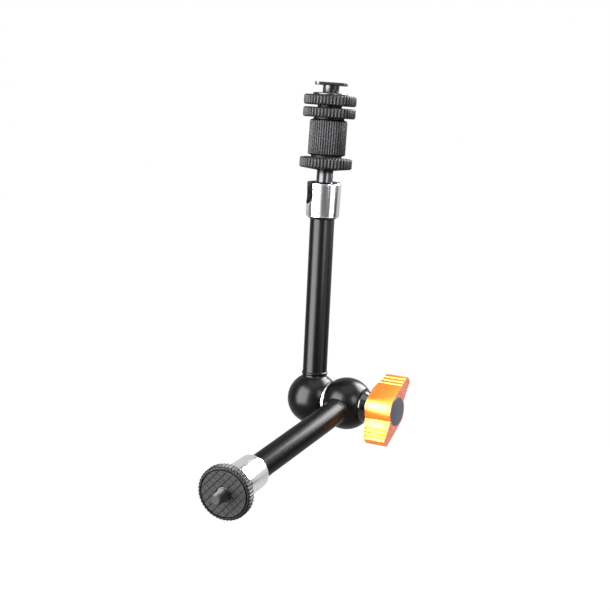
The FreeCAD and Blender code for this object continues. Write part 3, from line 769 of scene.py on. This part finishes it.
class ARM_OT_eased_pieces(bpy.types.Operator):
    """Eases the edges of the tubes, sockets, washers, collar and shoe foot, and gives each its finish"""

    bl_idname = "arm.eased_pieces"
    bl_label = "Tubes, sockets and small pieces"

    def execute(self, context):
        tube = tube_finish()
        socket = metal_finish("chrome_plated_socket", colours().chrome, 0.13, 0.17, 0.8, 0.0005)
        steel = metal_finish("turned_steel", colours().steel, 0.16, 0.26, 0.3)
        collar = plain_finish("moulded_black_gloss", colours().collar, 0.12, 0.2, 0.6, 0.01)
        satin = plain_finish("black_anodised_plain", colours().wheel, 0.26, 0.36, 0.3, 0.01)
        table = (
            ("lower_arm_body", 0.15, tube), ("upper_arm_body", 0.15, tube),
            ("lower_socket", 0.15, socket), ("upper_socket", 0.15, socket),
            ("friction_washer", 0.1, steel), ("thrust_collar", 0.2, collar),
            ("clamp_washer", 0.1, satin), ("shoe_foot", 0.2, satin),
        )
        # The bores' and slots' inner faces take a dark grey as painted shade inside the sockets.
        bore = metal_finish("bore_painted_shade", colours().bore, 0.4, 0.5)
        for node, width, finish in table:
            piece = copy_of(node, node + "_eased")
            soften(piece, width, 2, angle=35)
            settle(piece)
            if node.endswith("_socket"):
                dress(piece, node, finish, bore)
                side = node.split("_")[0]
                ball = Vector(JOINTS[side + "_ball_fold"]["pos_m"])
                along = Vector(JOINTS[side + "_rod_slide"]["axis"])
                for polygon in piece.data.polygons:
                    offset = polygon.center - ball
                    reach = (offset - along * offset.dot(along)).length
                    polygon.material_index = int(reach < sizes().socket_inside)
            else:
                dress(piece, node, finish)
        acetal = plain_finish("moulded_acetal", colours().acetal, 0.35, 0.5)
        for node, finish in (
            ("lower_push_rod", steel), ("upper_push_rod", steel), ("draw_bolt", steel), ("cone_bush", steel),
            ("return_spring", steel), ("lower_ball_seat", acetal), ("upper_ball_seat", acetal),
        ):
            NODES[node].data.materials.clear()
            NODES[node].data.materials.append(finish)
        return {"FINISHED"}


# ---------------------------------------------------------------- studio

VIEW_BACK = Vector((0.46754097, -0.8683092, 0.16566404))
VIEW_UP = Vector((-0.12104051, 0.12275843, 0.9850277))
CAMERA_PLACE = Vector((456.72364637, -769.99789385, 250.48456382)) * MM
CAMERA_LENS = 106.4413
SENSOR = 36.0
FLOOR_SIZE = 6
FLOOR_GLOW = 1.08  # what the camera sees of the floor's glow
GLOW_SHARE = 0.88  # the rest is matt paint, which keeps a trace of the shadow
SURROUND_LEVEL = 0.45
GLOSS_EXTRA = 0.25
CAMERA_EXTRA = 0.55  # with the level it makes 1, which is white

# Name, degrees to the right, degrees up, distance, width, height (metres), radiance, and whether gloss sees it.
# Boxes that only gloss sees draw the highlights; boxes that only matt surfaces see give the level.
BOXES = (
    ("left_box", -56, 12, 0.9, 0.9, 1.2, 28.0, True),
    ("front_right_box", 38, 24, 0.9, 0.3, 0.42, 26.0, True),
    ("right_box", 68, 2, 0.9, 0.42, 0.9, 3.0, True),
    ("rim_box", 125, 32, 0.9, 0.65, 0.6, 34.0, True),
    ("top_box", 10, 78, 0.9, 0.8, 0.8, 3.0, True),
    ("key_level", -40, 45, 1.2, 0.9, 0.9, 3.0, False),
    ("fill_level", 50, 25, 1.2, 0.9, 0.9, 1.6, False),
)

# The same, with the grey's level last. Only gloss sees the cards, which draw grey and dark streaks in the plating.
CARDS = (
    ("front_card", 18, -6, 0.8, 0.95, 0.5, 0.16),
    ("side_card", 99, -8, 0.8, 0.37, 0.3, 0.08),
    ("far_left_card", -104, 0, 0.8, 0.35, 0.7, 0.12),
)


def studio_direction(turn, rise):
    """The direction that lies turn degrees to the camera's right and rise degrees up, seen from the object."""
    heading = math.atan2(VIEW_BACK.y, VIEW_BACK.x) + math.radians(turn)
    tilt = math.radians(rise)
    return Vector((math.cos(tilt) * math.cos(heading), math.cos(tilt) * math.sin(heading), math.sin(tilt)))


def facing(direction):
    """The turn that points an object's -Z axis against the direction."""
    return direction.to_track_quat("Z", "Y").to_euler()


class ARM_OT_studio(bpy.types.Operator):
    """Sets the camera, the soft boxes, the dark cards, the floor and the white surroundings"""

    bl_idname = "arm.studio"
    bl_label = "Studio"

    def execute(self, context):
        scene = context.scene
        low, high = frame_box()
        middle = (low + high) / 2
        camera_data = bpy.data.cameras.new("studio_camera")
        camera_data.sensor_width = SENSOR
        camera_data.lens = CAMERA_LENS
        camera_data.clip_start = 0.05
        camera_data.clip_end = 50
        camera = bpy.data.objects.new("studio_camera", camera_data)
        scene.collection.objects.link(camera)
        right = VIEW_UP.cross(VIEW_BACK).normalized()
        turn = Matrix((right, VIEW_UP, VIEW_BACK)).transposed()
        camera.matrix_world = Matrix.Translation(CAMERA_PLACE) @ turn.to_4x4()
        scene.camera = camera

        for name, angle, rise, far, wide, tall, radiance, gloss in BOXES:
            lamp = bpy.data.lights.new(name, "AREA")
            lamp.shape = "RECTANGLE"
            lamp.size = wide
            lamp.size_y = tall
            lamp.energy = radiance * math.pi * wide * tall
            holder = bpy.data.objects.new(name, lamp)
            scene.collection.objects.link(holder)
            direction = studio_direction(angle, rise)
            holder.location = middle + direction * far
            holder.rotation_euler = facing(direction)
            holder.visible_camera = False
            holder.visible_diffuse = not gloss
            holder.visible_glossy = gloss

        for name, angle, rise, far, wide, tall, level in CARDS:
            direction = studio_direction(angle, rise)
            bpy.ops.object.select_all(action="DESELECT")
            bpy.ops.mesh.primitive_plane_add(size=1, location=middle + direction * far, rotation=facing(direction))
            card = context.object
            card.name = name
            bpy.ops.transform.resize(value=(wide, tall, 1), orient_type="LOCAL")
            card.data.materials.append(self.card_paint(name, level))
            card.visible_camera = False
            card.visible_diffuse = False
            card.visible_shadow = False

        # The arm is held by its lower stud, so the floor lies below all that it can fold down to
        hub, elbow = (Vector(JOINTS[name]["pos_m"]) for name in ("lower_ball_fold", "elbow_turn"))
        reach = (elbow - hub).length + (high - elbow).length
        bpy.ops.object.select_all(action="DESELECT")
        bpy.ops.mesh.primitive_plane_add(size=FLOOR_SIZE, location=(middle.x, middle.y, hub.z - reach))
        floor = context.object
        floor.name = "studio_floor"
        floor.data.materials.append(self.floor_paint())
        self.surround(scene)
        scene.view_settings.view_transform = "Standard"
        return {"FINISHED"}

    def card_paint(self, name, level):
        """Plain card of one grey."""
        paint = bpy.data.materials.new(name + "_paint")
        paint.use_nodes = True
        tree = paint.node_tree
        tree.nodes.clear()
        close_finish(tree, add(tree, "ShaderNodeEmission", {"Color": colours().floor, "Strength": level}))
        return paint

    def floor_paint(self):
        """Matt white paint, which glows just enough to reach white and keeps a trace of the shadow."""
        paint = bpy.data.materials.new("matt_white_floor")
        paint.use_nodes = True
        tree = paint.node_tree
        tree.nodes.clear()
        matt = add(tree, "ShaderNodeBsdfDiffuse", {"Color": colours().floor, "Roughness": 0.6})
        glow = add(tree, "ShaderNodeEmission", {"Color": colours().floor, "Strength": FLOOR_GLOW})
        path = add(tree, "ShaderNodeLightPath")
        share = add(tree, "ShaderNodeMath", {1: GLOW_SHARE}, {0: path.outputs["Is Camera Ray"]}, operation="MULTIPLY")
        mixed = add(
            tree, "ShaderNodeMixShader",
            links={0: share.outputs[0], 1: matt.outputs[0], 2: glow.outputs[0]},
        )
        close_finish(tree, mixed)
        return paint

    def surround(self, scene):
        """A soft grey surround: brighter in the gloss, and white to the camera."""
        world = bpy.data.worlds.new("white_surround")
        world.use_nodes = True
        scene.world = world
        tree = world.node_tree
        tree.nodes.clear()
        path = add(tree, "ShaderNodeLightPath")
        for_gloss = add(
            tree, "ShaderNodeMath", {1: GLOSS_EXTRA, 2: SURROUND_LEVEL}, {0: path.outputs["Is Glossy Ray"]},
            operation="MULTIPLY_ADD",
        )
        level = add(
            tree, "ShaderNodeMath", {1: CAMERA_EXTRA}, {0: path.outputs["Is Camera Ray"], 2: for_gloss.outputs[0]},
            operation="MULTIPLY_ADD",
        )
        surround = add(
            tree, "ShaderNodeBackground", {"Color": colours().floor}, {"Strength": level.outputs[0]}
        )
        add(tree, "ShaderNodeOutputWorld", links={"Surface": surround.outputs[0]})


def frame_box():
    corners = [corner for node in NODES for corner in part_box(node)]
    low = Vector([min(corner[k] for corner in corners) for k in range(3)])
    high = Vector([max(corner[k] for corner in corners) for k in range(3)])
    return low, high


class ARM_PT_panel(bpy.types.Panel):
    """Sizes, colours and steps of the friction arm"""

    bl_label = "Friction arm"
    bl_idname = "ARM_PT_panel"
    bl_space_type = "VIEW_3D"
    bl_region_type = "UI"
    bl_category = "Friction arm"

    def draw(self, context):
        for operator in STEPS:
            self.layout.operator(operator.bl_idname)
        for group in (context.scene.arm_sizes, context.scene.arm_colours):
            for key in group.bl_rna.properties.keys():
                if key not in {"rna_type", "name"}:
                    self.layout.prop(group, key)


STEPS = (ARM_OT_ball_studs, ARM_OT_knurled_rings, ARM_OT_pads, ARM_OT_wing_knob, ARM_OT_eased_pieces, ARM_OT_studio)
CLASSES = (ArmSizes, ArmColours, *STEPS, ARM_PT_panel)


def register():
    for item in CLASSES:
        bpy.utils.register_class(item)
    bpy.types.Scene.arm_sizes = bpy.props.PointerProperty(type=ArmSizes)
    bpy.types.Scene.arm_colours = bpy.props.PointerProperty(type=ArmColours)


def unregister():
    del bpy.types.Scene.arm_colours
    del bpy.types.Scene.arm_sizes
    for item in reversed(CLASSES):
        bpy.utils.unregister_class(item)


def main():
    register()
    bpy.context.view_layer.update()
    for step in STEPS:
        group, name = step.bl_idname.split(".")
        getattr(getattr(bpy.ops, group), name)()


if __name__ == "__main__":
    main()
